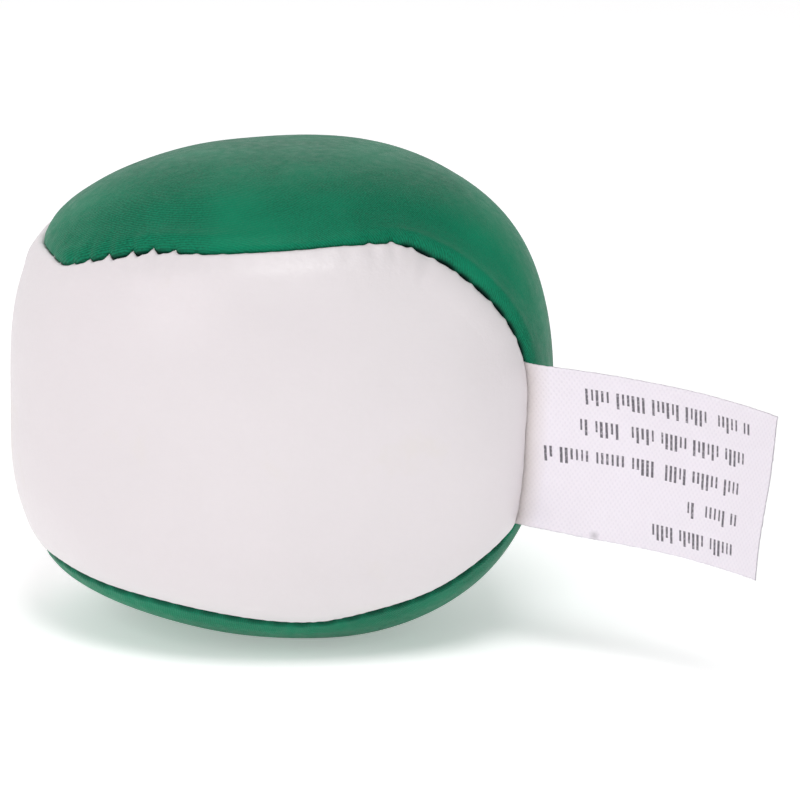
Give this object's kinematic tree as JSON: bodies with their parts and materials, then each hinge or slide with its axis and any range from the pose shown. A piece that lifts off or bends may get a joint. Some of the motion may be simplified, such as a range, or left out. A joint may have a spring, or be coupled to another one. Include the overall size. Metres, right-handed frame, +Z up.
{
  "type": "juggling ball",
  "caption": "Soft stuffed juggling ball of two interlocking dumbbell-shaped panels, white and green, sewn edge to edge, with a care label in the seam and a pellet fill.",
  "frame": {"origin": "centre of the flat patch that the ball rests on, on the underside of the green panel", "axes": "+Z up from the rest patch; +Y towards the white panel's rear lobe, so its front lobe faces -Y; +X towards the green panel's waist; the care label stands out of the seam between -Y and +X"},
  "size_m": [0.0716, 0.0816, 0.0559],
  "materials": {
    "white_skin": "matte",
    "green_skin": "satin",
    "thread": "matte",
    "label": "satin",
    "pellets": "matte"
  },
  "bodies": {
    "ball": {"white_panel": "white_skin", "green_panel": "green_skin", "needle_thread": "thread", "bobbin_thread": "thread", "closing_thread": "thread", "label_sewn_end": "label", "packed_fill": "pellets", "pellet_01": "pellets", "pellet_02": "pellets", "pellet_03": "pellets", "pellet_04": "pellets", "pellet_05": "pellets", "pellet_06": "pellets", "pellet_07": "pellets", "pellet_08": "pellets", "pellet_09": "pellets", "pellet_10": "pellets", "pellet_11": "pellets", "pellet_12": "pellets", "pellet_13": "pellets", "pellet_14": "pellets", "pellet_15": "pellets", "pellet_16": "pellets", "pellet_17": "pellets", "pellet_18": "pellets", "pellet_19": "pellets", "pellet_20": "pellets", "pellet_21": "pellets", "pellet_22": "pellets", "pellet_23": "pellets", "pellet_24": "pellets"},
    "label": {"care_label": "label"}
  },
  "joints": [
    {"name": "label_swing", "type": "hinge", "parent": "ball", "child": "label", "pos_m": [0.02187, -0.02636, 0.02497], "axis": [0, 0, 1], "range_deg": [-70, 60], "stiffness_Nm_per_rad": 0.00005}
  ]
}
